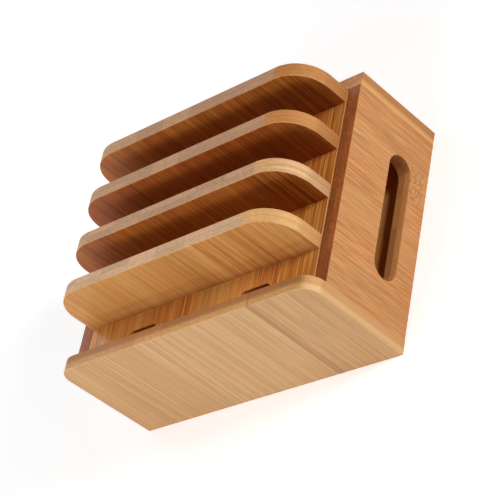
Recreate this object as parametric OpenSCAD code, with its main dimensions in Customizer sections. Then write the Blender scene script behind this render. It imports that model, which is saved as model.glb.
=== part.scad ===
// Desktop charging station: a bamboo box with a lift-off deck that carries four upright dividers.
// +X runs to the right along the front, +Y to the back and +Z up.
// The origin is the middle of the footprint, on the surface that the box stands on.

/* [Box] */
// Width over the front panel
box_width = 250; // [200:1:340]
// Thickness of the panels and the dividers
board = 11.2; // [8:0.1:14]
// Height of the side panels and the back panel
wall_height = 81.8; // [74:0.1:130]
// How far the front panel rises above the side panels
front_rise = 15; // [2:0.1:30]
// Radius of the front panel's top corners
front_corner = 14.2; // [4:0.1:30]
// Rounding of the panels' outer edges
edge_round = 0.6; // [0.3:0.1:2.4]

/* [Floor] */
// Thickness of the bottom panel
floor_thickness = 5; // [3:0.1:7]
// Wood left under the groove that holds the bottom panel
floor_lift = 5; // [3:0.1:8]
// Depth of the groove in each wall
groove_depth = 4; // [2:0.1:5]

/* [Deck] */
// Thickness of the deck board
deck_thickness = 9; // [7:0.1:12]
// How far the deck's top stands above the side panels
deck_proud = 0.4; // [0:0.1:3]
// Gap between the deck's edges and the walls
deck_gap = 0.6; // [0.4:0.1:1.5]
// Rounding of the deck's top edges
deck_round = 0.6; // [0.3:0.1:2]

/* [Dividers] */
// Clear width of each lane
lane_width = 30.2; // [22:0.1:45]
// Height of the dividers above the deck
divider_height = 45.7; // [34:0.1:90]
// Radius of the dividers' top corners
divider_corner = 27.3; // [6:0.1:32]

/* [Cable slots] */
// Length of a deck slot
deck_slot_length = 29; // [18:0.5:50]
// Width of a deck slot
deck_slot_width = 10; // [5:0.5:13]
// Distance from a lane's front to its deck slots
deck_slot_inset = 6; // [3:0.1:7]
// Distance between the two deck slots of a lane
deck_slot_spacing = 112; // [70:1:130]
// How far the deck slots sit to the right of the middle
deck_slot_shift = 1.8; // [-4:0.1:4]
// Length of the slot in each side panel
side_slot_length = 102.8; // [50:0.1:104]
// Height of the slot in each side panel
side_slot_height = 22.7; // [12:0.1:28]
// Height of the side slots' centre line
side_slot_level = 30; // [28:0.5:34]
// How far the side slots sit behind the middle
side_slot_shift = 0.9; // [-4:0.1:4]
// Chamfer around the mouth of each slot
slot_chamfer = 0.3; // [0.2:0.1:1.5]

/* [Ledges] */
// Width of the ledges under the deck
ledge_width = 10; // [6:0.5:14]
// Height of the ledges
ledge_height = 12; // [9:0.5:14]

/* [Dowels and screws] */
// Diameter of the corner dowels
dowel_diameter = 6; // [4:0.5:7]
// Length of a corner dowel inside the side panel
dowel_bite = 15; // [8:0.5:20]
// Distance from the side panels' top and bottom to the nearest dowel
dowel_inset = 18; // [14:0.5:24]
// Wood left past the end of each blind hole
blind_skin = 3.2; // [2:0.1:5]
// Diameter of the screw shanks
screw_diameter = 3.2; // [2.4:0.1:4]
// Diameter of the countersunk screw heads
screw_head = 6.4; // [5:0.1:8]
// Depth of the divider screws inside the dividers
divider_screw_bite = 19; // [10:0.5:26]
// Distance between neighbouring screws under a divider
divider_screw_spacing = 88; // [50:1:92]
// Distance from the ledges' ends to the nearest screw
ledge_screw_inset = 24; // [18:0.5:30]

/* [Hidden] */

LEFT = -1;
RIGHT = 1;
FRONT = -1;
BACK = 1;

divider_count = 4;
corner_dowel_count = 3;
ledge_screw_count = 3;
divider_screw_count = 3;

// Clearances between pieces that fit into each other
groove_clearance = 0.2;
hole_clearance = 0.05;
ledge_end_gap = 0.3;

// Small shaping sizes
dowel_chamfer = 0.8;
ledge_round = 0.6;
screw_tip = 4;
screw_tip_diameter = 0.8;
recess_depth = 1.4;
recess_length = 3.4;
recess_width = 0.8;
// How far cuts run past a face
overrun = 1;

// Inside of the box
lane_pitch = lane_width + board;
inner_width = box_width - 2 * board;
inner_depth = divider_count * lane_pitch + deck_gap;
box_depth = inner_depth + 2 * board;
front_height = wall_height + front_rise;
inner_front = -inner_depth / 2;
inner_back = inner_depth / 2;

// Deck and dividers
deck_top = wall_height + deck_proud;
deck_underside = deck_top - deck_thickness;
deck_width = inner_width - 2 * deck_gap;
deck_depth = inner_depth - 2 * deck_gap;

// Fasteners
head_height = (screw_head - screw_diameter) / 2;
ledge_middle = deck_underside - ledge_height / 2;
ledge_screw_length = ledge_width + board - blind_skin;
divider_screw_length = deck_thickness + divider_screw_bite;
dowel_seat = board - blind_skin;
dowel_length = dowel_seat + dowel_bite - 2 * groove_clearance;

$fn = 48;

function bamboo_light() = [0.82, 0.62, 0.42];
function bamboo_warm() = [0.76, 0.54, 0.33];
function bamboo_deck() = [0.66, 0.42, 0.2];
function birch() = [0.87, 0.76, 0.58];
function zinc() = [0.74, 0.74, 0.72];

// Front face of divider i, counted from the front
function divider_front(i) = inner_front + lane_width + i * lane_pitch;
// Front of lane i: the back of the board before it
function lane_front(i) = inner_front + i * lane_pitch;
// Place i of count places that spread evenly over a length about zero
function spread(i, count, length) = length * (i / (count - 1) - 0.5);
// Heights of the dowels in a corner
function dowel_level(i) =
    wall_height / 2 + spread(i, corner_dowel_count, wall_height - 2 * dowel_inset);

// Rectangle about the origin with rounded corners
module rounded_rect(width, height, radius) {
    square([width - 2 * radius, height], center = true);
    square([width, height - 2 * radius], center = true);
    for (sx = [-1, 1], sy = [-1, 1])
        translate([sx * (width / 2 - radius), sy * (height / 2 - radius)])
            circle(r = radius);
}

// Block with all of its edges rounded, centred on X and Y, standing on Z = 0
module rounded_block(width, depth, height, radius) {
    translate([0, 0, height / 2])
        intersection() {
            linear_extrude(height, center = true)
                rounded_rect(width, depth, radius);
            rotate([90, 0, 0])
                linear_extrude(depth, center = true)
                    rounded_rect(width, height, radius);
            rotate([90, 0, 90])
                linear_extrude(width, center = true)
                    rounded_rect(depth, height, radius);
        }
}

// Quarter of a disc with a rounded rim, as thick as the board and upright, for a top right corner
module rounded_corner(radius, thickness, edge) {
    rotate([90, 0, 0])
        rotate_extrude(angle = 90) {
            translate([0, -thickness / 2])
                square([radius - edge, thickness]);
            translate([0, edge - thickness / 2])
                square([radius, thickness - 2 * edge]);
            for (side = [-1, 1])
                translate([radius - edge, side * (thickness / 2 - edge)])
                    circle(r = edge);
        }
}

// Upright board with rounded edges and two large top corners, centred on X and Y
module arched_board(width, height, thickness, corner, edge) {
    shoulder = height - corner;
    linear_extrude(shoulder)
        rounded_rect(width, thickness, edge);
    translate([0, 0, shoulder])
        intersection() {
            rotate([90, 0, 90])
                linear_extrude(width - 2 * corner, center = true)
                    rounded_rect(thickness, 2 * corner, edge);
            translate([-width / 2, -thickness / 2, 0])
                cube([width, thickness, corner]);
        }
    translate([width / 2 - corner, 0, shoulder])
        rounded_corner(corner, thickness, edge);
    mirror([1, 0, 0])
        translate([width / 2 - corner, 0, shoulder])
            rounded_corner(corner, thickness, edge);
}

// Cutter for a slot with round ends, long side on X, through a board from Z = 0 down to -depth
module slot_cutter(length, width, depth, chamfer) {
    straight = length - width;
    flare = chamfer + overrun;
    for (end = [-1, 1])
        translate([end * straight / 2, 0, 0]) {
            translate([0, 0, -depth - overrun])
                cylinder(d = width, h = depth + 2 * overrun);
            translate([0, 0, -chamfer])
                cylinder(d1 = width, d2 = width + 2 * flare, h = flare);
            translate([0, 0, -depth - overrun])
                cylinder(d1 = width + 2 * flare, d2 = width, h = flare);
        }
    rotate([90, 0, 90])
        linear_extrude(straight, center = true)
            polygon([
                [-width / 2 - flare, overrun], [-width / 2, -chamfer],
                [-width / 2, chamfer - depth], [-width / 2 - flare, -depth - overrun],
                [width / 2 + flare, -depth - overrun], [width / 2, chamfer - depth],
                [width / 2, -chamfer], [width / 2 + flare, overrun]
            ]);
}

// Countersunk wood screw with its head's face at Z = 0 and its tip up
module wood_screw(length) {
    difference() {
        union() {
            cylinder(d1 = screw_head, d2 = screw_diameter, h = head_height);
            cylinder(d = screw_diameter, h = length - screw_tip);
            translate([0, 0, length - screw_tip])
                cylinder(d1 = screw_diameter, d2 = screw_tip_diameter, h = screw_tip);
        }
        for (turn = [0, 90])
            rotate([0, 0, turn])
                translate([0, 0, recess_depth / 2])
                    cube([recess_length, recess_width, recess_depth], center = true);
    }
}

// Room for a wood screw, open past the head's face
module screw_room(length) {
    grow = 2 * hole_clearance;
    cylinder(d1 = screw_head + grow, d2 = screw_diameter + grow, h = head_height);
    cylinder(d = screw_diameter + grow, h = length + groove_clearance);
    translate([0, 0, -overrun])
        cylinder(d = screw_head + grow, h = overrun + hole_clearance);
}

// Fluteless dowel from Z = 0 up, with chamfered ends
module dowel() {
    cylinder(d1 = dowel_diameter - 2 * dowel_chamfer, d2 = dowel_diameter, h = dowel_chamfer);
    translate([0, 0, dowel_chamfer])
        cylinder(d = dowel_diameter, h = dowel_length - 2 * dowel_chamfer);
    translate([0, 0, dowel_length - dowel_chamfer])
        cylinder(d1 = dowel_diameter, d2 = dowel_diameter - 2 * dowel_chamfer, h = dowel_chamfer);
}

// Puts its children at every dowel of the four corners, at the blind end in the outer panel
module at_dowels() {
    for (side = [LEFT, RIGHT], end = [FRONT, BACK], i = [0 : corner_dowel_count - 1])
        translate([
            side * (inner_width + board) / 2,
            end * (inner_depth / 2 + dowel_seat),
            dowel_level(i)
        ])
            rotate([end * 90, 0, 0])
                children();
}

// Holes for all corner dowels
module dowel_holes() {
    at_dowels()
        cylinder(d = dowel_diameter + 2 * hole_clearance, h = dowel_seat + dowel_bite);
}

// Puts its children at each screw of one side's ledge, pointing outwards into the side panel
module at_ledge_screws(side) {
    for (i = [0 : ledge_screw_count - 1])
        translate([
            side * (inner_width / 2 - ledge_width),
            spread(i, ledge_screw_count, inner_depth - 2 * ledge_screw_inset),
            ledge_middle
        ])
            rotate([0, side * 90, 0])
                children();
}

// Puts its children at each screw of divider i, pointing up from the deck's underside
module at_divider_screws(i) {
    for (k = [0 : divider_screw_count - 1])
        translate([
            spread(k, divider_screw_count, (divider_screw_count - 1) * divider_screw_spacing),
            divider_front(i) + board / 2,
            deck_underside
        ])
            children();
}

// Room that the bottom panel takes in the grooves of the four walls
module floor_groove() {
    reach = 2 * groove_depth;
    translate([-(inner_width + reach) / 2, -(inner_depth + reach) / 2, floor_lift])
        cube([inner_width + reach, inner_depth + reach, floor_thickness + groove_clearance]);
}

// Inner half of the front or back panel, with the side panels' outline so that they lie flush
module flush_half(end) {
    translate([0, end * (inner_depth / 2 + board / 4), wall_height / 2])
        rotate([90, 0, 0])
            linear_extrude(board / 2, center = true)
                rounded_rect(box_width, wall_height, edge_round);
}

module front_panel() {
    color(bamboo_light())
        difference() {
            union() {
                translate([0, inner_front - board / 2, 0])
                    arched_board(box_width, front_height, board, front_corner, edge_round);
                flush_half(FRONT);
            }
            floor_groove();
            dowel_holes();
        }
}

module back_panel() {
    color(bamboo_warm())
        difference() {
            union() {
                translate([0, inner_back + board / 2, 0])
                    rounded_block(box_width, board, wall_height, edge_round);
                flush_half(BACK);
            }
            floor_groove();
            dowel_holes();
        }
}

// Panel between the front and the back, with a groove, a cable slot and blind holes
module side_panel(side) {
    color(bamboo_warm())
        difference() {
            translate([side * (inner_width + board) / 2, 0, wall_height / 2])
                rotate([90, 0, 0])
                    linear_extrude(inner_depth, center = true)
                        rounded_rect(board, wall_height, edge_round);
            translate([side * box_width / 2, side_slot_shift, side_slot_level])
                rotate([0, side * 90, 0])
                    rotate([0, 0, 90])
                        slot_cutter(side_slot_length, side_slot_height, board, slot_chamfer);
            floor_groove();
            dowel_holes();
            at_ledge_screws(side)
                screw_room(ledge_screw_length);
        }
}

module left_side_panel() {
    side_panel(LEFT);
}

module right_side_panel() {
    side_panel(RIGHT);
}

module bottom_panel() {
    reach = 2 * (groove_depth - groove_clearance);
    color(bamboo_warm())
        translate([-(inner_width + reach) / 2, -(inner_depth + reach) / 2, floor_lift])
            cube([inner_width + reach, inner_depth + reach, floor_thickness]);
}

// Batten on a side panel's inner face that the deck rests on
module ledge(side) {
    color(birch())
        difference() {
            translate([
                side * (inner_width - ledge_width) / 2,
                0,
                deck_underside - ledge_height
            ])
                rounded_block(
                    ledge_width, inner_depth - 2 * ledge_end_gap, ledge_height, ledge_round
                );
            at_ledge_screws(side)
                screw_room(ledge_screw_length);
        }
}

module left_ledge() {
    ledge(LEFT);
}

module right_ledge() {
    ledge(RIGHT);
}

module corner_dowels() {
    color(birch())
        at_dowels()
            translate([0, 0, groove_clearance])
                dowel();
}

module ledge_screws() {
    color(zinc())
        for (side = [LEFT, RIGHT])
            at_ledge_screws(side)
                wood_screw(ledge_screw_length);
}

module deck_board() {
    color(bamboo_deck())
        difference() {
            translate([0, 0, deck_underside])
                rounded_block(deck_width, deck_depth, deck_thickness, deck_round);
            for (i = [0 : divider_count - 1]) {
                for (side = [LEFT, RIGHT])
                    translate([
                        deck_slot_shift + side * deck_slot_spacing / 2,
                        lane_front(i) + deck_slot_inset + deck_slot_width / 2,
                        deck_top
                    ])
                        slot_cutter(deck_slot_length, deck_slot_width, deck_thickness, slot_chamfer);
                at_divider_screws(i)
                    screw_room(divider_screw_length);
            }
        }
}

// Divider i, counted from the front, standing on the deck
module divider(i) {
    color(bamboo_light())
        difference() {
            translate([0, divider_front(i) + board / 2, deck_top])
                arched_board(deck_width, divider_height, board, divider_corner, edge_round);
            at_divider_screws(i)
                screw_room(divider_screw_length);
        }
}

module front_divider() {
    divider(0);
}

module second_divider() {
    divider(1);
}

module third_divider() {
    divider(2);
}

module rear_divider() {
    divider(3);
}

module divider_screws() {
    color(zinc())
        for (i = [0 : divider_count - 1])
            at_divider_screws(i)
                wood_screw(divider_screw_length);
}

front_panel();
back_panel();
left_side_panel();
right_side_panel();
bottom_panel();
left_ledge();
right_ledge();
corner_dowels();
ledge_screws();
deck_board();
front_divider();
second_divider();
third_divider();
rear_divider();
divider_screws();
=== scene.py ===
"""Looks of the charging station organizer: bamboo finishes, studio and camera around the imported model."""
import logging
import math
from dataclasses import dataclass, field, replace
from enum import Enum
from typing import TypeAlias

import bpy
from mathutils import Matrix, Vector


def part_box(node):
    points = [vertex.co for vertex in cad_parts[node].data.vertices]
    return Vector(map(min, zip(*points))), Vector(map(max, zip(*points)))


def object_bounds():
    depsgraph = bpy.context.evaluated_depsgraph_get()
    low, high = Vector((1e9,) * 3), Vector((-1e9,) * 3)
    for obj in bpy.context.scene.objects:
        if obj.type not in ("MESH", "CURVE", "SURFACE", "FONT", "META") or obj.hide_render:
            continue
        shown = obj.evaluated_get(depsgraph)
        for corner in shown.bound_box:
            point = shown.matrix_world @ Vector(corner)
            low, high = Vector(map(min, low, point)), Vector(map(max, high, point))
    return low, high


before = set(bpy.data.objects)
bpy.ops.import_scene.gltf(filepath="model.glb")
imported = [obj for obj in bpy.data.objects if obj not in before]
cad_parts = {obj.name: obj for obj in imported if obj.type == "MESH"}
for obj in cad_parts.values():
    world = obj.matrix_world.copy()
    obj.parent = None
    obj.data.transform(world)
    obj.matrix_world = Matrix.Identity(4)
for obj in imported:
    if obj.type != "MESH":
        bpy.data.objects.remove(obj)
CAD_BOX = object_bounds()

MM = 0.001
WHITE = (1.0, 1.0, 1.0, 1.0)
LOG = logging.getLogger("charging_station")

Triple: TypeAlias = tuple[float, float, float]
Value: TypeAlias = bpy.types.NodeSocket | float | tuple[float, ...]


class Lay(Enum):
    """How a board lies: the frame axes across its planks, through its thickness and along its grain."""

    FACING_FRONT = ("X", "Y", "Z")
    FACING_SIDE = ("Y", "X", "Z")
    LEVEL = ("X", "Z", "Y")


@dataclass(frozen=True)
class Shade:
    """A colour as a screen shows it, from 0 to 255 in each channel."""

    red: float
    green: float
    blue: float

    def linear(self) -> tuple[float, float, float, float]:
        """Gives the colour as Blender's sockets take it."""
        full = 255
        toe = 0.04045
        toe_slope = 12.92
        lift = 0.055
        power = 2.4
        channels = []
        for level in (self.red / full, self.green / full, self.blue / full):
            low = level / toe_slope
            high = ((level + lift) / (1 + lift)) ** power
            channels.append(low if level <= toe else high)
        return (channels[0], channels[1], channels[2], 1.0)


@dataclass(frozen=True)
class Span:
    """A range of values, such as the one over which a mark fades in."""

    low: float
    high: float

    def turned(self) -> "Span":
        """Gives the same range from its high end to its low end."""
        return Span(self.high, self.low)


@dataclass(frozen=True)
class Speck:
    """The size of one mark in the wood: across the plank, through it and along the grain, in metres."""

    across: float
    through: float
    along: float

    def per_metre(self) -> Triple:
        """Gives how many marks go into a metre each way."""
        return (1 / self.across, 1 / self.through, 1 / self.along)


UNIT = Span(0.0, 1.0)


class Graph:
    """A node tree that is being wired, with one short call for each kind of node that the finishes use."""

    def __init__(self, tree: bpy.types.NodeTree) -> None:
        """Starts on a tree.

        Args:
            tree: The material's or group's node tree.
        """
        self.tree = tree

    def node(self, kind: str, **settings: object) -> bpy.types.Node:
        """Adds a node.

        Args:
            kind: The node's type name in Blender.
            **settings: Properties of the node.

        Returns:
            The new node.
        """
        made = self.tree.nodes.new(kind)
        for name, value in settings.items():
            setattr(made, name, value)
        return made

    def feed(self, socket: bpy.types.NodeSocket, value: Value) -> None:
        """Links a socket to another, or sets its own value.

        Args:
            socket: The input to feed.
            value: An output socket, a number or a tuple.
        """
        if isinstance(value, bpy.types.NodeSocket):
            self.tree.links.new(value, socket)
        else:
            socket.default_value = value

    def math(self, operation: str, *values: Value, clamp: bool = False) -> bpy.types.NodeSocket:
        """Works on numbers.

        Args:
            operation: Name of the sum in Blender's Math node.
            *values: Its inputs.
            clamp: Whether the result is kept from 0 to 1.

        Returns:
            The result.
        """
        made = self.node("ShaderNodeMath", operation=operation, use_clamp=clamp)
        for socket, value in zip(made.inputs, values):
            self.feed(socket, value)
        return made.outputs["Value"]

    def vector(self, operation: str, *values: Value) -> bpy.types.NodeSocket:
        """Works on vectors.

        Args:
            operation: Name of the sum in Blender's Vector Math node.
            *values: Its inputs.

        Returns:
            The resulting vector.
        """
        made = self.node("ShaderNodeVectorMath", operation=operation)
        for socket, value in zip(made.inputs, values):
            self.feed(socket, value)
        return made.outputs["Vector"]

    def split(self, vector: Value) -> bpy.types.NodeOutputs:
        """Splits a vector into its X, Y and Z outputs."""
        made = self.node("ShaderNodeSeparateXYZ")
        self.feed(made.inputs["Vector"], vector)
        return made.outputs

    def join(self, x: Value, y: Value, z: Value) -> bpy.types.NodeSocket:
        """Makes a vector of three numbers."""
        made = self.node("ShaderNodeCombineXYZ")
        for socket, value in zip(made.inputs, (x, y, z)):
            self.feed(socket, value)
        return made.outputs["Vector"]

    def ramp(self, value: Value, source: Span, target: Span = UNIT, smooth: bool = True) -> bpy.types.NodeSocket:
        """Maps a number from one range to another, held at the ends.

        Args:
            value: The number.
            source: The range that it comes from.
            target: The range that it goes to.
            smooth: Whether it eases at both ends.

        Returns:
            The mapped number.
        """
        made = self.node("ShaderNodeMapRange", interpolation_type="SMOOTHSTEP" if smooth else "LINEAR")
        for name, item in (("Value", value), ("From Min", source.low), ("From Max", source.high),
                           ("To Min", target.low), ("To Max", target.high)):
            self.feed(made.inputs[name], item)
        return made.outputs["Result"]

    def near(self, distance: Value, reach: float) -> bpy.types.NodeSocket:
        """Gives 1 where a distance is zero, fading to 0 at its reach on either side."""
        return self.ramp(self.math("ABSOLUTE", distance), Span(0.0, reach), UNIT.turned())

    def swing(self, value: Value, strength: Value) -> bpy.types.NodeSocket:
        """Centres a value that runs from 0 to 1 on zero and scales it."""
        middle = 0.5
        return self.math("MULTIPLY", self.math("SUBTRACT", value, middle), strength)

    def product(self, first: Value, *others: Value) -> bpy.types.NodeSocket:
        """Multiplies numbers.

        Args:
            first: The first number.
            *others: The rest of them.

        Returns:
            Their product.
        """
        result = first
        for other in others:
            result = self.math("MULTIPLY", result, other)
        return result

    def mix(self, share: Value, first: Value, second: Value, blend: str = "MIX") -> bpy.types.NodeSocket:
        """Mixes two colours.

        Args:
            share: How much of the second colour.
            first: The colour at 0.
            second: The colour at 1.
            blend: Name of the blend mode.

        Returns:
            The mixed colour.
        """
        made = self.node("ShaderNodeMix", data_type="RGBA", blend_type=blend)
        sockets = {socket.identifier: socket for socket in made.inputs}
        self.feed(sockets["Factor_Float"], share)
        self.feed(sockets["A_Color"], first)
        self.feed(sockets["B_Color"], second)
        return next(socket for socket in made.outputs if socket.identifier == "Result_Color")

    def noise(self, vector: Value, detail: float = 2.0, roughness: float = 0.5,
              distortion: float = 0.0) -> bpy.types.NodeSocket:
        """Adds noise with one cell a unit.

        Args:
            vector: Where it is read.
            detail: Number of finer layers.
            roughness: Strength of the finer layers.
            distortion: How much it is bent.

        Returns:
            The noise, about 0.5 on average.
        """
        made = self.node("ShaderNodeTexNoise", noise_dimensions="3D")
        for name, value in (("Vector", vector), ("Scale", 1.0), ("Detail", detail),
                            ("Roughness", roughness), ("Distortion", distortion)):
            self.feed(made.inputs[name], value)
        return made.outputs["Fac"]


def blank_material(name: str) -> tuple[bpy.types.Material, Graph]:
    """Starts a material with an empty node tree.

    Args:
        name: The material's name.

    Returns:
        The material and the graph of its tree.
    """
    made = bpy.data.materials.new(name)
    made.use_nodes = True
    made.node_tree.nodes.clear()
    return made, Graph(made.node_tree)


class Group:
    """A shader node group with named sockets, built once."""

    def __init__(self, name: str, inputs: dict[str, object], outputs: dict[str, str]) -> None:
        """Makes the group and its sockets.

        Args:
            name: The group's name.
            inputs: Each input's name and its first value, which is a number or three numbers.
            outputs: Each output's name and socket type.
        """
        self.tree = bpy.data.node_groups.new(name, "ShaderNodeTree")
        for label, value in inputs.items():
            kind = "NodeSocketVector" if isinstance(value, tuple) else "NodeSocketFloat"
            socket = self.tree.interface.new_socket(label, in_out="INPUT", socket_type=kind)
            socket.default_value = value
        for label, kind in outputs.items():
            self.tree.interface.new_socket(label, in_out="OUTPUT", socket_type=kind)
        self.graph = Graph(self.tree)
        self.inputs = self.tree.nodes.new("NodeGroupInput").outputs
        self.outputs = self.tree.nodes.new("NodeGroupOutput").inputs

    def give(self, name: str, value: Value) -> None:
        """Feeds one of the group's outputs."""
        self.graph.feed(self.outputs[name], value)

    def place(self, graph: Graph, **values: Value) -> bpy.types.NodeOutputs:
        """Puts the group into a material.

        Args:
            graph: The material's graph.
            **values: The inputs, with underscores for spaces.

        Returns:
            The group's outputs there.
        """
        made = graph.node("ShaderNodeGroup", node_tree=self.tree)
        for name, value in values.items():
            graph.feed(made.inputs[name.replace("_", " ")], value)
        return made.outputs


@dataclass
class PlankEffect:
    """How a board is glued up of two plies of planks."""

    plank: float = 28.3 * MM
    joint_width: float = 0.5 * MM
    open_joint_width: float = 1.6 * MM
    closed_joint_share: float = 0.45
    stain_width: float = 9 * MM
    glue_width: float = 0.3 * MM
    skin_blur: float = 1.0 * MM
    skin_fade: Span = Span(-1.0, 1.0)
    drift: Triple = (5.0, 5.0, 5.0)
    same_plank: float = 0.1

    def __post_init__(self) -> None:
        """Builds the group.

        Its outputs are each plank's tone, warmth and boldness, the lines between planks and plies, the stain beside
        the open joint, masks for the golden plank and the skin layer, and a shift for the fibres.
        """
        numbers = ("Tone", "Warmth", "Boldness", "Joint", "Stain", "Glue", "Golden", "Skin")
        self.group = Group(
            "bamboo_planks",
            {"Position": (0.0, 0.0, 0.0), "Plank Width": self.plank, "Seed": 0.0,
             "Open Joint": -1.0, "Golden Plank": -1.0, "Half Thickness": 0.0, "Skin Depth": 0.0,
             "Skin Blur": self.skin_blur},
            {**{name: "NodeSocketFloat" for name in numbers}, "Drift": "NodeSocketVector"},
        )
        graph = self.group.graph
        inputs = self.group.inputs
        place = graph.split(inputs["Position"])
        ply = graph.math("GREATER_THAN", place["Y"], 0.0)
        phase = graph.math("DIVIDE", place["X"], inputs["Plank Width"])
        index = graph.math("FLOOR", phase)
        chance = graph.node("ShaderNodeTexWhiteNoise", noise_dimensions="3D")
        graph.feed(chance.inputs["Vector"], graph.join(index, ply, inputs["Seed"]))
        parts = graph.node("ShaderNodeSeparateColor")
        graph.feed(parts.inputs["Color"], chance.outputs["Color"])
        self.group.give("Tone", parts.outputs["Red"])
        self.group.give("Warmth", parts.outputs["Green"])
        self.group.give("Boldness", parts.outputs["Blue"])
        self.group.give("Drift", graph.vector("MULTIPLY", chance.outputs["Color"], self.drift))
        self.group.give("Golden", graph.math("COMPARE", index, inputs["Golden Plank"], self.same_plank))
        self.give_joints(phase)
        self.group.give("Glue", graph.near(place["Y"], self.glue_width))
        depth = graph.math("ADD", place["Y"], inputs["Half Thickness"])
        inside = graph.math("DIVIDE", graph.math("SUBTRACT", inputs["Skin Depth"], depth), inputs["Skin Blur"])
        self.group.give("Skin", graph.ramp(inside, self.skin_fade))

    def give_joints(self, phase: Value) -> None:
        """Draws the lines between planks, of which one may stand open and be stained on its right.

        Args:
            phase: Place across the board, counted in planks.
        """
        graph = self.group.graph
        inputs = self.group.inputs
        nearest = graph.math("ROUND", phase)
        away = graph.product(graph.math("SUBTRACT", phase, nearest), inputs["Plank Width"])
        opened = graph.math("COMPARE", nearest, inputs["Open Joint"], self.same_plank)
        width = graph.ramp(opened, UNIT, Span(self.joint_width, self.open_joint_width))
        line = graph.math("SUBTRACT", 1.0, graph.math("DIVIDE", graph.math("ABSOLUTE", away), width), clamp=True)
        share = graph.ramp(opened, UNIT, Span(self.closed_joint_share, 1.0))
        right = graph.math("GREATER_THAN", away, 0.0)
        self.group.give("Joint", graph.product(line, share))
        self.group.give("Stain", graph.product(graph.near(away, self.stain_width), right, opened))


@dataclass
class FibreEffect:
    """The straight fibres that run along a plank."""

    hair: Speck = Speck(0.42 * MM, 0.5 * MM, 40 * MM)
    line: Speck = Speck(1.5 * MM, 1.6 * MM, 150 * MM)
    cluster: Speck = Speck(11 * MM, 12 * MM, 260 * MM)
    strand: Speck = Speck(1.0 * MM, 1.5 * MM, 60 * MM)
    band: Speck = Speck(4.2 * MM, 5 * MM, 260 * MM)
    fleck: Speck = Speck(0.5 * MM, 0.5 * MM, 6 * MM)
    cloud: Speck = Speck(32 * MM, 32 * MM, 80 * MM)
    layer: Speck = Speck(70 * MM, 0.8 * MM, 70 * MM)
    strand_fade: Span = Span(0.34, 0.66)
    band_fade: Span = Span(0.32, 0.68)
    hair_fade: Span = Span(0.54, 0.7)
    line_fade: Span = Span(0.54, 0.66)
    cluster_fade: Span = Span(0.35, 0.57)
    fleck_fade: Span = Span(0.58, 0.74)
    fine: float = 3.0
    plain: float = 1.0
    rough: float = 0.6

    def __post_init__(self) -> None:
        """Builds the group, whose outputs are hairs, dark lines, strands, bands, flecks, clouds and rim layers."""
        names = ("Hairs", "Lines", "Strands", "Bands", "Flecks", "Clouds", "Layers")
        self.group = Group(
            "bamboo_fibres",
            {"Position": (0.0, 0.0, 0.0), "Drift": (0.0, 0.0, 0.0), "Fineness": (1.0, 1.0, 1.0)},
            {name: "NodeSocketFloat" for name in names},
        )
        graph = self.group.graph
        moved = graph.vector("ADD", self.group.inputs["Position"], self.group.inputs["Drift"])
        self.place = graph.vector("MULTIPLY", moved, self.group.inputs["Fineness"])
        lines = graph.ramp(self.marks(self.line, self.plain), self.line_fade)
        clusters = graph.ramp(self.marks(self.cluster, self.plain), self.cluster_fade)
        self.group.give("Hairs", graph.ramp(self.marks(self.hair, self.plain), self.hair_fade))
        self.group.give("Lines", graph.product(lines, clusters))
        strands = self.marks(self.strand, self.plain, self.rough)
        self.group.give("Strands", graph.ramp(strands, self.strand_fade, smooth=False))
        self.group.give("Bands", graph.ramp(self.marks(self.band, self.fine), self.band_fade, smooth=False))
        self.group.give("Flecks", graph.ramp(self.marks(self.fleck, self.plain), self.fleck_fade))
        self.group.give("Clouds", self.marks(self.cloud, self.fine))
        self.group.give("Layers", self.marks(self.layer, self.fine, self.rough))

    def marks(self, size: Speck, detail: float, roughness: float = 0.5) -> bpy.types.NodeSocket:
        """Draws noise whose cells have a real size.

        Args:
            size: The size of a cell.
            detail: Number of finer layers.
            roughness: Strength of the finer layers.

        Returns:
            The noise.
        """
        graph = self.group.graph
        return graph.noise(graph.vector("MULTIPLY", self.place, size.per_metre()), detail, roughness)


@dataclass
class PoreEffect:
    """The cut ends of the fibre bundles, which show as small dots in a mottled ground."""

    pore: Speck = Speck(0.9 * MM, 0.7 * MM, 30 * MM)
    mottle: Speck = Speck(3.4 * MM, 1.6 * MM, 12 * MM)
    pore_size: Span = Span(0.15, 0.5)
    detail: float = 3.0

    def __post_init__(self) -> None:
        """Builds the group."""
        self.group = Group(
            "bamboo_pores",
            {"Position": (0.0, 0.0, 0.0), "Drift": (0.0, 0.0, 0.0)},
            {"Pores": "NodeSocketFloat", "Mottle": "NodeSocketFloat"},
        )
        graph = self.group.graph
        moved = graph.vector("ADD", self.group.inputs["Position"], self.group.inputs["Drift"])
        cells = graph.node("ShaderNodeTexVoronoi", feature="F1")
        graph.feed(cells.inputs["Vector"], graph.vector("MULTIPLY", moved, self.pore.per_metre()))
        graph.feed(cells.inputs["Scale"], 1.0)
        mottle = graph.noise(graph.vector("MULTIPLY", moved, self.mottle.per_metre()), self.detail)
        self.group.give("Pores", graph.ramp(cells.outputs["Distance"], self.pore_size, UNIT.turned()))
        self.group.give("Mottle", mottle)


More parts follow.
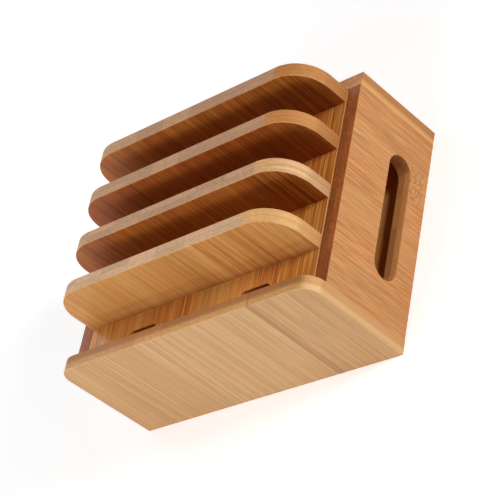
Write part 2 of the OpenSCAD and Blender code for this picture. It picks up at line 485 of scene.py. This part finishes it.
@dataclass
class KnuckleEffect:
    """The place where the culm had a joint: a patch of wavy ripples in one plank."""

    half_width: float = 17 * MM
    half_height: float = 11 * MM
    ripple: Speck = Speck(4.6 * MM, 4.6 * MM, 2.6 * MM)
    line_reach: float = 0.1
    middle: float = 0.5
    wide_fade: Span = Span(0.7, 1.0)
    high_fade: Span = Span(0.5, 1.0)
    detail: float = 2.0
    rough: float = 0.55
    bend: float = 1.2

    def __post_init__(self) -> None:
        """Builds the group, whose outputs are the patch's mask and its ripples."""
        self.group = Group(
            "bamboo_knuckle",
            {"Position": (0.0, 0.0, 0.0), "Middle": (0.0, 0.0, 0.0)},
            {"Mask": "NodeSocketFloat", "Ripples": "NodeSocketFloat"},
        )
        graph = self.group.graph
        away = graph.split(graph.vector("SUBTRACT", self.group.inputs["Position"], self.group.inputs["Middle"]))
        wide = graph.math("DIVIDE", graph.math("ABSOLUTE", away["X"]), self.half_width)
        high = graph.math("DIVIDE", graph.math("ABSOLUTE", away["Z"]), self.half_height)
        inside = graph.product(graph.ramp(wide, self.wide_fade, UNIT.turned()),
                               graph.ramp(high, self.high_fade, UNIT.turned()))
        place = graph.vector("MULTIPLY", self.group.inputs["Position"], self.ripple.per_metre())
        self.group.give("Mask", inside)
        waves = graph.noise(place, self.detail, self.rough, self.bend)
        self.group.give("Ripples", graph.near(graph.math("SUBTRACT", waves, self.middle), self.line_reach))


@dataclass
class RimEffect:
    """Tells a board's faces, rims, cut ends and rounded edges apart by the normal."""

    rim_fade: Span = Span(0.35, 0.85)
    end_fade: Span = Span(0.8, 0.97)
    round_fade: Span = Span(0.1, 0.6)

    def __post_init__(self) -> None:
        """Builds the group, with a mask for the rims, one for the cut ends and one for the rounded edges."""
        self.group = Group(
            "board_rims",
            {"Normal": (0.0, 0.0, 1.0)},
            {"Rim": "NodeSocketFloat", "End": "NodeSocketFloat", "Round": "NodeSocketFloat"},
        )
        graph = self.group.graph
        turn = graph.split(self.group.inputs["Normal"])
        through = graph.math("ABSOLUTE", turn["Y"])
        along = graph.math("ABSOLUTE", turn["Z"])
        side = graph.math("SQRT", graph.math("SUBTRACT", 1.0, graph.product(through, through), clamp=True))
        self.group.give("Rim", graph.ramp(side, self.rim_fade))
        self.group.give("End", graph.ramp(along, self.end_fade))
        self.group.give("Round", graph.ramp(graph.math("MINIMUM", through, side), self.round_fade))


@dataclass
class BambooEffects:
    """The node groups that all of the wood shares, each built once."""

    planks: PlankEffect = field(default_factory=PlankEffect)
    fibres: FibreEffect = field(default_factory=FibreEffect)
    pores: PoreEffect = field(default_factory=PoreEffect)
    knuckle: KnuckleEffect = field(default_factory=KnuckleEffect)
    rims: RimEffect = field(default_factory=RimEffect)


@dataclass(frozen=True)
class Grain:
    """How strongly each kind of mark shows on a board."""

    tone: float = 0.3
    band: float = 0.55
    strand: float = 0.8
    cloud: float = 0.4
    line: float = 0.3
    hair: float = 0.2
    fleck: float = 0.16
    joint: float = 0.45
    stain: float = 0.2
    boldness: Span = Span(0.25, 1.75)
    tint: Span = Span(0.3, 0.7)
    cool: tuple[float, float, float, float] = (0.975, 1.012, 1.05, 1.0)
    warm: tuple[float, float, float, float] = (1.03, 0.992, 0.95, 1.0)


@dataclass(frozen=True)
class CutWood:
    """How the rims and the cut ends of a board show."""

    layer_share: Span = Span(0.3, 0.9)
    layer_fade: Span = Span(0.3, 0.7)
    rim: float = 0.9
    end: float = 0.92
    # Share of the rim colour on rounded edges: a painted edge highlight.
    round: float = 0.15
    glue: float = 0.4
    mottle: float = 0.3
    mottle_fade: Span = Span(0.35, 0.7)
    pore: float = 0.22
    slot_marks: float = 0.25
    tone: Span = Span(0.8, 1.2)
    golden: tuple[float, float, float, float] = (0.985, 1.025, 0.97, 1.0)
    rosy: tuple[float, float, float, float] = (1.015, 0.98, 1.025, 1.0)


@dataclass(frozen=True)
class Lacquer:
    """A satin clear lacquer over the grain."""

    roughness: Span = Span(0.43, 0.55)
    strand_fade: Span = Span(0.3, 0.7)
    end_roughness: float = 0.08
    coat: float = 0.06
    specular: float = 0.25
    coat_roughness: float = 0.32
    grain_depth: float = 0.015 * MM
    hair_relief: float = 0.4
    joint_relief: float = 0.8


@dataclass(frozen=True)
class Bamboo:
    """A lacquered bamboo finish.

    The colours are those of a pale and a deep fibre, of the dark streaks, of the cut ends in a plain and in the golden
    plank, of the long rims, and of the skin layer at the front of the rims and ends.
    """

    pale: Shade
    deep: Shade
    streak: Shade
    cut_end: Shade
    golden_end: Shade
    rim: Shade
    skin: Shade
    seed: float = 0.0
    plank: float = 28.3 * MM
    open_joint: float = -1.0
    golden_plank: float = -1.0
    skin_depth: float = 0.0
    skin_blur: float = 1.0 * MM
    spots: Shade | None = None
    knuckle_at: tuple[float, float] | None = None
    knuckle_strength: float = 0.7
    knuckle_pale: float = 0.35
    fineness: Triple = (1.0, 1.0, 1.0)
    # A lighter colour for the cut ends below slot_top, which are the slot's walls: painted light on the same end grain
    # as the top strip.
    slot_end_painted_light: Shade | None = None
    slot_top: float = 60 * MM
    grain: Grain = Grain()
    cut: CutWood = CutWood()
    lacquer: Lacquer = Lacquer()

    def material(self, node: str, effects: BambooEffects, lay: Lay) -> bpy.types.Material:
        """Makes the finish for one board.

        Args:
            node: The board's node.
            effects: The shared node groups.
            lay: How the board lies.

        Returns:
            The material, named after the node.
        """
        made, graph = blank_material(f"{node}_finish")
        low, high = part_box(node)
        across, through, along = lay.value
        bottom = Vector(getattr(low, axis.lower()) for axis in lay.value)
        top = Vector(getattr(high, axis.lower()) for axis in lay.value)
        middle = (bottom.y + top.y) / 2
        source = graph.node("ShaderNodeTexCoord")
        spot = graph.split(source.outputs["Object"])
        facing = graph.split(source.outputs["Normal"])
        position = graph.vector(
            "SUBTRACT", graph.join(spot[across], spot[through], spot[along]), (bottom.x, middle, bottom.z)
        )
        planks = effects.planks.group.place(
            graph, Position=position, Plank_Width=self.plank, Seed=self.seed,
            Open_Joint=self.open_joint, Golden_Plank=self.golden_plank, Half_Thickness=top.y - middle,
            Skin_Depth=self.skin_depth, Skin_Blur=self.skin_blur
        )
        fibres = effects.fibres.group.place(
            graph, Position=position, Drift=planks["Drift"], Fineness=self.fineness
        )
        pores = effects.pores.group.place(graph, Position=position, Drift=planks["Drift"])
        rims = effects.rims.group.place(
            graph, Normal=graph.join(facing[across], facing[through], facing[along])
        )

        colour = self.face_colour(graph, planks, fibres)
        if self.knuckle_at:
            colour = self.with_knuckle(graph, effects, position, colour)
        colour = graph.mix(graph.product(rims["Rim"], self.cut.rim), colour,
                           self.rim_colour(graph, planks, fibres, colour))
        ends = self.end_colour(graph, planks, pores, position)
        colour = graph.mix(graph.product(rims["End"], self.cut.end), colour, ends)
        # Rounded edges take some of the rim colour: painted edge highlights, which are lighter than the faces on the
        # dividers.
        colour = graph.mix(graph.product(rims["Round"], self.cut.round), colour, self.rim.linear())
        colour = graph.mix(graph.product(planks["Joint"], self.grain.joint), colour, self.streak.linear())
        glue = graph.product(planks["Glue"], rims["Rim"], self.cut.glue)
        colour = graph.mix(glue, colour, self.streak.linear())
        self.shade(graph, colour, planks, fibres, rims)
        return made

    def face_colour(self, graph: Graph, planks: bpy.types.NodeOutputs,
                    fibres: bpy.types.NodeOutputs) -> bpy.types.NodeSocket:
        """Colours the board's faces.

        Args:
            graph: The material's graph.
            planks: Outputs of the plank group.
            fibres: Outputs of the fibre group.

        Returns:
            The colour.
        """
        grain = self.grain
        bold = graph.ramp(planks["Boldness"], UNIT, grain.boldness, smooth=False)
        middle = 0.5
        tone = graph.math("ADD", middle, graph.swing(planks["Tone"], grain.tone))
        tone = graph.math("ADD", tone, graph.swing(fibres["Bands"], grain.band))
        strands = graph.product(graph.swing(fibres["Strands"], grain.strand), bold)
        tone = graph.math("ADD", tone, strands)
        tone = graph.math("ADD", tone, graph.swing(fibres["Clouds"], grain.cloud), clamp=True)
        colour = graph.mix(tone, self.deep.linear(), self.pale.linear())
        tinted = graph.mix(planks["Warmth"], grain.cool, grain.warm)
        colour = graph.mix(1.0, colour, tinted, "MULTIPLY")
        drifting = graph.mix(graph.ramp(fibres["Clouds"], grain.tint), grain.warm, grain.cool)
        colour = graph.mix(1.0, colour, drifting, "MULTIPLY")
        dark = self.streak.linear()
        colour = graph.mix(graph.product(fibres["Lines"], bold, grain.line), colour, dark)
        colour = graph.mix(graph.product(fibres["Hairs"], bold, grain.hair), colour, dark)
        colour = graph.mix(graph.product(fibres["Flecks"], grain.fleck), colour, dark)
        return graph.mix(graph.product(planks["Stain"], grain.stain), colour, dark)

    def rim_colour(self, graph: Graph, planks: bpy.types.NodeOutputs, fibres: bpy.types.NodeOutputs,
                   face: Value) -> bpy.types.NodeSocket:
        """Colours the long rims, which show the layers of the planks.

        Args:
            graph: The material's graph.
            planks: Outputs of the plank group.
            fibres: Outputs of the fibre group.
            face: The faces' colour.

        Returns:
            The colour.
        """
        ground = graph.mix(planks["Skin"], self.rim.linear(), self.skin.linear())
        share = graph.ramp(fibres["Layers"], self.cut.layer_fade, self.cut.layer_share)
        return graph.mix(graph.math("MAXIMUM", share, planks["Skin"]), face, ground)

    def end_colour(self, graph: Graph, planks: bpy.types.NodeOutputs, pores: bpy.types.NodeOutputs,
                   position: Value) -> bpy.types.NodeSocket:
        """Colours the cut ends, where each plank has its own tone and the fibres end in dots.

        Args:
            graph: The material's graph.
            planks: Outputs of the plank group.
            pores: Outputs of the pore group.
            position: Place on the board.

        Returns:
            The colour.
        """
        cut = self.cut
        golden = graph.math("MAXIMUM", planks["Golden"], planks["Skin"])
        colour = graph.mix(golden, self.cut_end.linear(), self.golden_end.linear())
        marked = 1.0
        # Below slot_top the cut ends take the lighter slot colour, which is painted light, and show fewer marks.
        if self.slot_end_painted_light:
            inner = graph.math("LESS_THAN", graph.split(position)["Z"], self.slot_top)
            colour = graph.mix(inner, colour, self.slot_end_painted_light.linear())
            marked = graph.ramp(inner, UNIT, Span(1.0, cut.slot_marks))
        level = graph.ramp(planks["Tone"], UNIT, cut.tone, smooth=False)
        colour = graph.mix(1.0, colour, graph.join(level, level, level), "MULTIPLY")
        tinted = graph.mix(planks["Warmth"], cut.golden, cut.rosy)
        colour = graph.mix(1.0, colour, tinted, "MULTIPLY")
        dark = (self.spots or self.streak).linear()
        mottled = graph.product(graph.ramp(pores["Mottle"], cut.mottle_fade), marked, cut.mottle)
        colour = graph.mix(mottled, colour, dark)
        return graph.mix(graph.product(pores["Pores"], marked, cut.pore), colour, dark)

    def with_knuckle(self, graph: Graph, effects: BambooEffects, position: Value,
                     colour: Value) -> bpy.types.NodeSocket:
        """Puts the culm's joint on the board.

        Args:
            graph: The material's graph.
            effects: The shared node groups.
            position: Place on the board.
            colour: The board's colour so far.

        Returns:
            The colour with the patch.
        """
        across, along = self.knuckle_at
        patch = effects.knuckle.group.place(graph, Position=position, Middle=(across, 0.0, along))
        lines = graph.product(patch["Mask"], patch["Ripples"], self.knuckle_strength)
        paler = graph.mix(graph.product(patch["Mask"], self.knuckle_pale), colour, self.skin.linear())
        return graph.mix(lines, paler, self.streak.linear())

    def shade(self, graph: Graph, colour: Value, planks: bpy.types.NodeOutputs, fibres: bpy.types.NodeOutputs,
              rims: bpy.types.NodeOutputs) -> None:
        """Adds the shader with its gloss and fine relief.

        Args:
            graph: The material's graph.
            colour: The board's colour.
            planks: Outputs of the plank group.
            fibres: Outputs of the fibre group.
            rims: Outputs of the rim group.
        """
        lacquer = self.lacquer
        rough = graph.ramp(fibres["Strands"], lacquer.strand_fade, lacquer.roughness)
        rough = graph.math("ADD", rough, graph.product(rims["End"], lacquer.end_roughness), clamp=True)
        relief = graph.math("SUBTRACT", fibres["Strands"], graph.product(fibres["Hairs"], lacquer.hair_relief))
        relief = graph.math("SUBTRACT", relief, graph.product(planks["Joint"], lacquer.joint_relief))
        bump = graph.node("ShaderNodeBump")
        graph.feed(bump.inputs["Height"], relief)
        bump.inputs["Distance"].default_value = lacquer.grain_depth
        bump.inputs["Strength"].default_value = 1.0
        shader = graph.node("ShaderNodeBsdfPrincipled")
        graph.feed(shader.inputs["Base Color"], colour)
        graph.feed(shader.inputs["Roughness"], rough)
        graph.feed(shader.inputs["Normal"], bump.outputs["Normal"])
        shader.inputs["Specular IOR Level"].default_value = lacquer.specular
        shader.inputs["Coat Weight"].default_value = lacquer.coat
        shader.inputs["Coat Roughness"].default_value = lacquer.coat_roughness
        output = graph.node("ShaderNodeOutputMaterial")
        graph.feed(output.inputs["Surface"], shader.outputs["BSDF"])


@dataclass(frozen=True)
class Steel:
    """The zinc-plated steel of the screws."""

    name: str = "zinc_steel"
    colour: Shade = Shade(186, 184, 178)
    worn: Shade = Shade(132, 128, 120)
    mark: Speck = Speck(0.35 * MM, 0.35 * MM, 0.35 * MM)
    mark_fade: Span = Span(0.35, 0.7)
    roughness: Span = Span(0.28, 0.48)
    detail: float = 3.0

    def material(self) -> bpy.types.Material:
        """Makes the finish: a metal with fine turning marks.

        Returns:
            The material.
        """
        made, graph = blank_material(self.name)
        source = graph.node("ShaderNodeTexCoord")
        marks = graph.noise(
            graph.vector("MULTIPLY", source.outputs["Object"], self.mark.per_metre()), self.detail
        )
        worn = graph.ramp(marks, self.mark_fade)
        shader = graph.node("ShaderNodeBsdfPrincipled")
        graph.feed(shader.inputs["Base Color"], graph.mix(worn, self.colour.linear(), self.worn.linear()))
        graph.feed(shader.inputs["Roughness"], graph.ramp(marks, self.mark_fade, self.roughness))
        shader.inputs["Metallic"].default_value = 1.0
        output = graph.node("ShaderNodeOutputMaterial")
        graph.feed(output.inputs["Surface"], shader.outputs["BSDF"])
        return made


def dress(node: str, material: bpy.types.Material) -> None:
    """Gives a CAD node its finish and reports it.

    Args:
        node: The node's name.
        material: The finish.
    """
    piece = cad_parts[node]
    for slot in piece.material_slots:
        slot.material = material
    LOG.info("%s: %s", node, material.name)


FRONT_WIDTH = 250 * MM
FRONT_PLANKS = 9
FRONT_WOOD = Bamboo(
    pale=Shade(214, 171, 121), deep=Shade(188, 139, 88), streak=Shade(151, 97, 51),
    cut_end=Shade(180, 111, 53), golden_end=Shade(226, 168, 101), rim=Shade(230, 168, 104), skin=Shade(240, 192, 132),
    seed=69996, plank=FRONT_WIDTH / FRONT_PLANKS, open_joint=7, skin_depth=5.4 * MM, skin_blur=2.2 * MM,
    grain=Grain(tone=0.55, band=0.55, strand=0.58, line=0.16, hair=0.17, joint=0.6, stain=0.4,
                cool=(0.99, 1.004, 1.02, 1.0), warm=(1.01, 0.997, 0.98, 1.0)),
    cut=CutWood(tone=Span(0.8, 1.12), mottle=0.35),
)
WALL_WOOD = Bamboo(
    pale=Shade(213, 153, 94), deep=Shade(187, 122, 64), streak=Shade(146, 80, 34),
    cut_end=Shade(168, 90, 38), golden_end=Shade(190, 116, 56), rim=Shade(176, 108, 60), skin=Shade(224, 164, 104),
    seed=19174, plank=27.7 * MM, fineness=(1.35, 1.0, 2.5), slot_end_painted_light=Shade(215, 148, 86), spots=Shade(96, 42, 16),
    grain=Grain(tone=0.26, band=0.5, strand=1.15, line=0.3, hair=0.3),
    cut=CutWood(tone=Span(0.78, 1.24), mottle=0.5, mottle_fade=Span(0.46, 0.64), pore=0.25, glue=0.6),
)
BACK_WOOD = replace(
    WALL_WOOD, cut_end=Shade(206, 146, 92), golden_end=Shade(230, 168, 104),
    rim=Shade(170, 112, 58), skin=Shade(217, 161, 95), skin_depth=4.2 * MM, skin_blur=2.4 * MM, seed=71,
    cut=CutWood(layer_share=Span(0.6, 1.0)),
)
# Deck bamboo: its stripes and plank tones are the wood's own, but its pale colour is lifted to paint in light that the
# lanes do not get from the lamps.
DECK_WOOD_PAINTED_LIGHT = Bamboo(
    pale=Shade(253, 188, 101), deep=Shade(198, 118, 44), streak=Shade(148, 76, 26),
    cut_end=Shade(180, 112, 60), golden_end=Shade(206, 146, 86), rim=Shade(222, 168, 104), skin=Shade(236, 184, 120),
    seed=53091, grain=Grain(tone=0.95, band=0.6, strand=0.85, line=0.45, hair=0.28, warm=(1.03, 0.975, 0.89, 1.0)),
)
FRONT_DIVIDER_WOOD = Bamboo(
    pale=Shade(212, 156, 88), deep=Shade(184, 118, 54), streak=Shade(150, 82, 30),
    cut_end=Shade(232, 186, 143), golden_end=Shade(238, 185, 118), rim=Shade(234, 183, 119), skin=Shade(232, 190, 130),
    seed=66059, golden_plank=7,
    grain=Grain(tone=0.35, band=0.5, strand=0.7, line=0.5, hair=0.2, boldness=Span(0.05, 1.6),
                warm=(1.015, 0.995, 0.96, 1.0)),
    cut=CutWood(layer_share=Span(0.55, 1.0), tone=Span(0.84, 1.12), mottle=0.25),
)
# The dividers behind the front one: the front divider's bamboo with darker, deeper orange faces, which are painted
# shade for their narrow lanes.
DIVIDER_WOOD_PAINTED_SHADE = replace(
    FRONT_DIVIDER_WOOD,
    pale=Shade(195, 116, 44), deep=Shade(156, 80, 23), streak=Shade(114, 54, 12), cut_end=Shade(209, 159, 116),
    golden_end=Shade(234, 182, 124), rim=Shade(240, 198, 146), seed=81957,
    grain=Grain(tone=0.45, band=0.75, strand=1.1, line=0.6, hair=0.28, boldness=Span(0.3, 1.6),
                warm=(1.015, 0.995, 0.96, 1.0)),
)
LEDGE_WOOD = Bamboo(
    pale=Shade(230, 204, 164), deep=Shade(208, 176, 130), streak=Shade(172, 134, 88),
    cut_end=Shade(186, 148, 104), golden_end=Shade(206, 170, 124), rim=Shade(222, 192, 148), skin=Shade(230, 204, 164),
    plank=60 * MM, seed=101,
)
DOWEL_WOOD = replace(LEDGE_WOOD, pale=Shade(232, 206, 172), deep=Shade(214, 182, 144), seed=107)


@dataclass
class Box:
    """The box: five panels, two ledges, dowels and screws."""

    effects: BambooEffects
    steel: bpy.types.Material
    boards: dict[str, tuple[Bamboo, Lay]] = field(default_factory=lambda: {
        "front_panel": (FRONT_WOOD, Lay.FACING_FRONT),
        "back_panel": (BACK_WOOD, Lay.FACING_FRONT),
        "left_side_panel": (replace(WALL_WOOD, seed=83), Lay.FACING_SIDE),
        "right_side_panel": (replace(WALL_WOOD, knuckle_at=(121 * MM, 13 * MM)), Lay.FACING_SIDE),
        "bottom_panel": (
            replace(WALL_WOOD, pale=Shade(244, 182, 100), deep=Shade(218, 152, 80), seed=97),
            Lay.LEVEL,
        ),
        "left_ledge": (LEDGE_WOOD, Lay.LEVEL),
        "right_ledge": (replace(LEDGE_WOOD, seed=103), Lay.LEVEL),
        "corner_dowels": (DOWEL_WOOD, Lay.LEVEL),
    })

    def dress(self) -> None:
        """Finishes every piece of the box."""
        for node, (wood, lay) in self.boards.items():
            dress(node, wood.material(node, self.effects, lay))
        dress("ledge_screws", self.steel)


@dataclass
class Deck:
    """The lift-off deck: its board, the four dividers and their screws."""

    effects: BambooEffects
    steel: bpy.types.Material
    dividers: dict[str, Bamboo] = field(default_factory=lambda: {
        "front_divider": FRONT_DIVIDER_WOOD,
        "second_divider": DIVIDER_WOOD_PAINTED_SHADE,
        # The third divider's faces are darker still: more painted shade.
        "third_divider": replace(
            DIVIDER_WOOD_PAINTED_SHADE, seed=44494, pale=Shade(182, 99, 36), deep=Shade(147, 69, 18),
            golden_end=Shade(205, 137, 70), rim=Shade(209, 146, 83)
        ),
        "rear_divider": replace(
            DIVIDER_WOOD_PAINTED_SHADE, seed=4038, cut_end=Shade(205, 156, 114),
            golden_end=Shade(196, 130, 66), rim=Shade(199, 139, 79)
        ),
    })

    def dress(self) -> None:
        """Finishes every piece of the deck."""
        dress("deck_board", DECK_WOOD_PAINTED_LIGHT.material("deck_board", self.effects, Lay.LEVEL))
        for node, wood in self.dividers.items():
            dress(node, wood.material(node, self.effects, Lay.FACING_FRONT))
        dress("divider_screws", self.steel)


@dataclass(frozen=True)
class Lamp:
    """A soft lamp that points at the object."""

    name: str
    azimuth: float
    elevation: float
    distance: float
    width: float
    height: float
    power: float

    def place(self, target: Vector) -> None:
        """Puts the lamp into the scene.

        Args:
            target: The point that it faces.
        """
        data = bpy.data.lights.new(self.name, "AREA")
        data.shape = "RECTANGLE"
        data.size = self.width
        data.size_y = self.height
        data.energy = self.power
        lamp = bpy.data.objects.new(self.name, data)
        bpy.context.scene.collection.objects.link(lamp)
        back = direction(self.azimuth, self.elevation)
        lamp.location = target + back * self.distance
        lamp.rotation_euler = back.to_track_quat("Z", "Y").to_euler()


def direction(azimuth: float, elevation: float) -> Vector:
    """Gives the way from the object to a place round it.

    Args:
        azimuth: Degrees from the front towards the right.
        elevation: Degrees above the level.

    Returns:
        The direction as a unit vector.
    """
    turn = math.radians(azimuth)
    rise = math.radians(elevation)
    return Vector((math.sin(turn) * math.cos(rise), -math.cos(turn) * math.cos(rise), math.sin(rise)))


@dataclass
class Studio:
    """Floor, lamps, world and camera."""

    floor_radius: float = 4.0
    floor_edges: int = 96
    floor_colour: Shade = Shade(243, 243, 243)
    floor_roughness: float = 0.95
    floor_specular: float = 0.1
    floor_glow: float = 0.45
    world_level: float = 0.02
    focal_pixels: float = 1780.53
    frame_pixels: float = 500.0
    sensor: float = 36.0
    camera_target: Triple = (8.714 * MM, -1.983 * MM, 51.826 * MM)
    camera_distance: float = 1290.95 * MM
    camera_azimuth: float = 49.90
    camera_elevation: float = 33.12
    camera_roll: float = 53.62
    lamps: tuple[Lamp, ...] = (
        Lamp("front_softbox", azimuth=-10, elevation=20, distance=1.4, width=1.4, height=0.3, power=7),
        Lamp("front_low_softbox", azimuth=-10, elevation=4, distance=1.4, width=1.4, height=0.15, power=3.4),
        Lamp("front_left_softbox", azimuth=310, elevation=20, distance=1.4, width=0.8, height=0.3, power=4.5),
        Lamp("right_softbox", azimuth=98, elevation=22, distance=1.4, width=0.4, height=0.25, power=12),
        Lamp("top_softbox", azimuth=0, elevation=85, distance=1.4, width=1.0, height=1.0, power=3.4),
        Lamp("rear_left_softbox", azimuth=235, elevation=32, distance=1.4, width=1.0, height=0.4, power=2.2),
        Lamp("rear_left_lamp", azimuth=238, elevation=22, distance=1.4, width=0.3, height=0.3, power=1.2),
        Lamp("rear_softbox", azimuth=180, elevation=4, distance=1.4, width=1.4, height=0.15, power=5),
    )

    @staticmethod
    def seen(graph: Graph) -> bpy.types.NodeSocket:
        """Tells whether the camera, a reflection or a clear piece looks at a surface.

        Args:
            graph: The graph of the floor or the world.

        Returns:
            1 where one of them does, and otherwise 0.
        """
        path = graph.node("ShaderNodeLightPath")
        either = graph.math("MAXIMUM", path.outputs["Is Camera Ray"], path.outputs["Is Glossy Ray"])
        return graph.math("MAXIMUM", either, path.outputs["Is Transmission Ray"])

    def build_floor(self) -> None:
        """Makes the pale floor, which shows white to the camera and keeps the shadow."""
        bpy.ops.object.select_all(action="DESELECT")
        bpy.ops.mesh.primitive_circle_add(vertices=self.floor_edges, radius=self.floor_radius, fill_type="NGON")
        floor = bpy.context.object
        floor.name = "studio_floor"
        made, graph = blank_material("studio_paper")
        shader = graph.node("ShaderNodeBsdfPrincipled")
        shader.inputs["Base Color"].default_value = self.floor_colour.linear()
        shader.inputs["Roughness"].default_value = self.floor_roughness
        shader.inputs["Specular IOR Level"].default_value = self.floor_specular
        shader.inputs["Emission Color"].default_value = WHITE
        graph.feed(shader.inputs["Emission Strength"], graph.product(self.seen(graph), self.floor_glow))
        output = graph.node("ShaderNodeOutputMaterial")
        graph.feed(output.inputs["Surface"], shader.outputs["BSDF"])
        floor.data.materials.append(made)
        LOG.info("studio floor placed")

    def build_world(self) -> None:
        """Makes the world: a faint white light that shows as white."""
        world = bpy.data.worlds.new("studio_world")
        world.use_nodes = True
        world.node_tree.nodes.clear()
        graph = Graph(world.node_tree)
        background = graph.node("ShaderNodeBackground")
        background.inputs["Color"].default_value = WHITE
        level = graph.ramp(self.seen(graph), UNIT, Span(self.world_level, 1.0))
        graph.feed(background.inputs["Strength"], level)
        output = graph.node("ShaderNodeOutputWorld")
        graph.feed(output.inputs["Surface"], background.outputs["Background"])
        bpy.context.scene.world = world

    def build_lamps(self) -> None:
        """Places the soft lamps."""
        low, high = CAD_BOX
        for lamp in self.lamps:
            lamp.place((low + high) / 2)
        LOG.info("%d lamps placed", len(self.lamps))

    def build_camera(self) -> None:
        """Places the camera at the photograph's viewing angle."""
        data = bpy.data.cameras.new("photo_camera")
        data.sensor_width = self.sensor
        data.lens = self.sensor * self.focal_pixels / self.frame_pixels
        camera = bpy.data.objects.new("photo_camera", data)
        bpy.context.scene.collection.objects.link(camera)
        back = direction(self.camera_azimuth, self.camera_elevation)
        level = Vector((0, 0, 1)).cross(back).normalized()
        rise = back.cross(level)
        roll = math.radians(self.camera_roll)
        up = rise * math.cos(roll) + level * math.sin(roll)
        side = up.cross(back)
        turn = Matrix((side, up, back)).transposed()
        place = Vector(self.camera_target) + back * self.camera_distance
        camera.matrix_world = Matrix.Translation(place) @ turn.to_4x4()
        bpy.context.scene.camera = camera
        LOG.info("camera placed")

    def build(self) -> None:
        """Builds the whole studio."""
        bpy.context.scene.view_settings.view_transform = "Standard"
        self.build_camera()
        self.build_floor()
        self.build_world()
        self.build_lamps()


def main() -> None:
    """Builds and dresses everything in order."""
    logging.basicConfig(level=logging.INFO, format="%(message)s")
    effects = BambooEffects()
    steel = Steel().material()
    Studio().build()
    Box(effects, steel).dress()
    Deck(effects, steel).dress()


if __name__ == "__main__":
    main()
